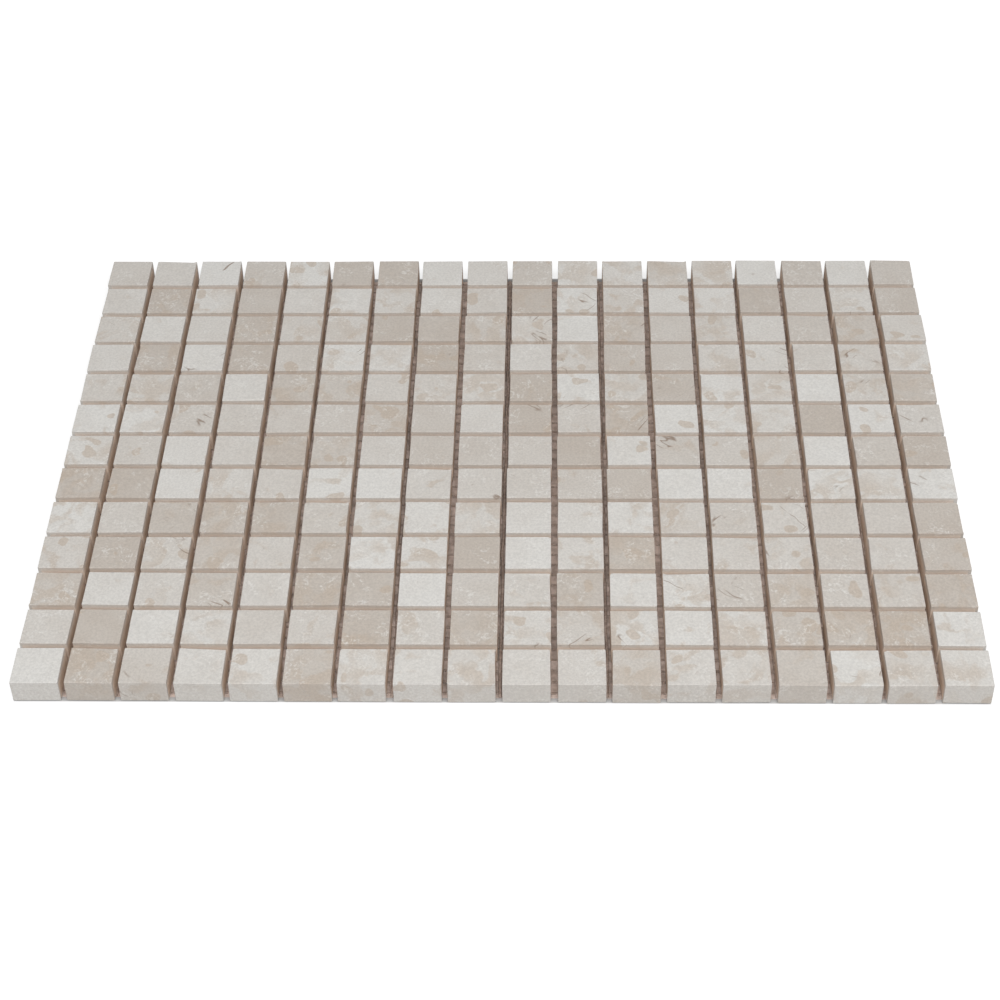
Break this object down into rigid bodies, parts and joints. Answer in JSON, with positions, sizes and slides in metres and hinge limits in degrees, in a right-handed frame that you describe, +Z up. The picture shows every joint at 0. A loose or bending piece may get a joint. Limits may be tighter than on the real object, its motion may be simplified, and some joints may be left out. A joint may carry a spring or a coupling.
{
  "type": "mosaic tile sheet",
  "caption": "Rectangular sheet of small square honed marble chips set in straight rows with open joints on a backing net, bedded as one tile or border on a wall or floor.",
  "frame": {"origin": "middle of the sheet's underside, on the lower yarns of the net", "axes": "+X along a row of chips, +Y from the front row to the back row, +Z up out of the stone faces"},
  "size_m": [0.304, 0.219, 0.0085],
  "materials": {
    "marble": "honed satin",
    "net": "resin-stiffened yarn"
  },
  "bodies": {
    "root": {"chip_row_01": "marble", "chip_row_02": "marble", "chip_row_03": "marble", "chip_row_04": "marble", "chip_row_05": "marble", "chip_row_06": "marble", "chip_row_07": "marble", "chip_row_08": "marble", "chip_row_09": "marble", "chip_row_10": "marble", "chip_row_11": "marble", "chip_row_12": "marble", "chip_row_13": "marble", "net_warp": "net", "net_weft": "net"}
  },
  "joints": []
}
